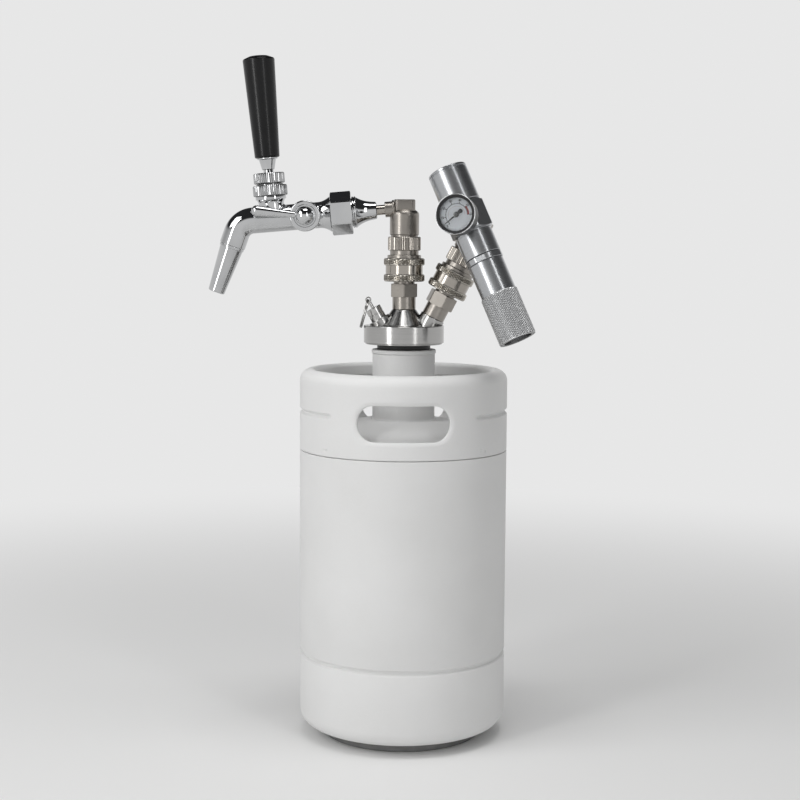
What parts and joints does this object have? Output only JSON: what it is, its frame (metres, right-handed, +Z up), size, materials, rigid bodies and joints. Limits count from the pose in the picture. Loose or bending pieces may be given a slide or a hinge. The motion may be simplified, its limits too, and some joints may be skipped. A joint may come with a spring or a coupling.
{
  "type": "mini keg beer dispenser",
  "caption": "Steel mini keg with a rolled top ring and hand holes, a tapping head, a flow-control tap on a quick disconnect, a relief valve and a cartridge gas regulator with a gauge.",
  "frame": {"origin": "middle of the flat underside of the base pad, on the keg's axis", "axes": "+Z up along the keg's axis, +X from the tap's side to the regulator's side, -Y to the front, where the gauge faces"},
  "size_m": [0.2591, 0.168, 0.5475],
  "materials": {
    "keg_paint": "matte white powder coat",
    "base_rubber": "moulded grey rubber",
    "head_steel": "turned and brushed stainless steel",
    "fitting_nickel": "turned stainless steel, warm grey",
    "tap_chrome": "polished chrome",
    "reg_aluminium": "satin turned aluminium",
    "black_rubber": "black rubber",
    "handle_black": "gloss black",
    "dial_white": "printed white dial",
    "needle_black": "black paint",
    "lens_clear": "clear window",
    "cartridge_steel": "plated steel"
  },
  "bodies": {
    "keg": {"keg_body": "keg_paint", "base_pad": "base_rubber", "top_ring": "keg_paint", "keg_dome": "keg_paint", "keg_neck": "keg_paint", "neck_gasket": "black_rubber", "tapping_head": "head_steel", "dip_tube": "head_steel", "relief_body": "head_steel", "liquid_post": "fitting_nickel", "gas_post": "fitting_nickel"},
    "tap": {"liquid_disconnect": "fitting_nickel", "liquid_balls": "fitting_nickel", "tail_link": "fitting_nickel", "tap_shank": "tap_chrome", "coupling_nut": "tap_chrome", "faucet_body": "tap_chrome", "spout": "tap_chrome", "side_ring": "tap_chrome", "bonnet": "tap_chrome", "top_collar": "tap_chrome"},
    "handle": {"handle_lever": "tap_chrome", "ferrule": "tap_chrome", "tap_handle": "handle_black"},
    "shuttle": {"shuttle": "tap_chrome", "shuttle_seal": "black_rubber"},
    "flow_lever": {"flow_lever": "tap_chrome"},
    "liquid_sleeve": {"liquid_sleeve": "fitting_nickel"},
    "relief_stem": {"relief_stem": "head_steel"},
    "relief_ring": {"relief_ring": "head_steel"},
    "regulator": {"gas_disconnect": "fitting_nickel", "gas_balls": "fitting_nickel", "outlet_nut": "fitting_nickel", "regulator_body": "reg_aluminium", "diaphragm_piston": "reg_aluminium", "regulator_barrel": "reg_aluminium", "pierce_pin": "tap_chrome", "barrel_ring": "reg_aluminium", "gauge_stem": "tap_chrome", "gauge_case": "tap_chrome", "gauge_bezel": "tap_chrome", "gauge_dial": "dial_white", "gauge_lens": "lens_clear"},
    "gas_sleeve": {"gas_sleeve": "fitting_nickel"},
    "knob": {"adjusting_knob": "reg_aluminium"},
    "cartridge": {"cartridge_sleeve": "reg_aluminium", "gas_cartridge": "cartridge_steel"},
    "needle": {"gauge_needle": "needle_black"}
  },
  "joints": [
    {"name": "tap_swivel", "type": "hinge", "parent": "keg", "child": "tap", "pos_m": [0, 0, 0.42775], "axis": [0, 0, 1], "range_deg": [-60, 60]},
    {"name": "handle_tilt", "type": "hinge", "parent": "tap", "child": "handle", "pos_m": [-0.10813, 0, 0.44399], "axis": [0, -1, 0], "range_deg": [0, 18]},
    {"name": "shuttle_slide", "type": "slide", "parent": "tap", "child": "shuttle", "axis": [0.9962, 0, 0.0872], "range_m": [0, 0.0082]},
    {"name": "flow_turn", "type": "hinge", "parent": "tap", "child": "flow_lever", "pos_m": [-0.0793, 0, 0.42081], "axis": [0, -1, 0], "range_deg": [0, 100]},
    {"name": "liquid_sleeve_lift", "type": "slide", "parent": "tap", "child": "liquid_sleeve", "axis": [0, 0, 1], "range_m": [0, 0.0022], "stiffness_N_per_m": 800, "springref_m": -0.004},
    {"name": "relief_lift", "type": "slide", "parent": "keg", "child": "relief_stem", "axis": [-0.4939, 0, 0.8695], "range_m": [0, 0.002], "stiffness_N_per_m": 600, "springref_m": -0.004},
    {"name": "ring_swing", "type": "hinge", "parent": "relief_stem", "child": "relief_ring", "pos_m": [-0.02889, 0, 0.3541], "axis": [0, 1, 0], "range_deg": [0, 70]},
    {"name": "gas_swivel", "type": "hinge", "parent": "keg", "child": "regulator", "pos_m": [0.0233, -0.0019, 0.3406], "axis": [0.4578, -0.028, 0.8886], "range_deg": [-20, 20]},
    {"name": "gas_sleeve_lift", "type": "slide", "parent": "regulator", "child": "gas_sleeve", "axis": [0.4578, -0.028, 0.8886], "range_m": [0, 0.0022], "stiffness_N_per_m": 800, "springref_m": -0.004},
    {"name": "knob_turn", "type": "hinge", "parent": "regulator", "child": "knob", "pos_m": [0.04934, -0.04034, 0.41718], "axis": [-0.3789, 0.2289, 0.8967], "continuous": true},
    {"name": "cartridge_turn", "type": "hinge", "parent": "regulator", "child": "cartridge", "pos_m": [0.04934, -0.04034, 0.41718], "axis": [-0.3789, 0.2289, 0.8967], "continuous": true},
    {"name": "needle_turn", "type": "hinge", "parent": "regulator", "child": "needle", "pos_m": [0.04934, -0.04034, 0.41718], "axis": [0.2904, 0.9494, -0.1197], "range_deg": [-12, 217], "stiffness_Nm_per_rad": 0.001}
  ],
  "couplings": [
    {"joint": "shuttle_slide", "follows": "handle_tilt", "m_per_rad": 0.0256}
  ]
}
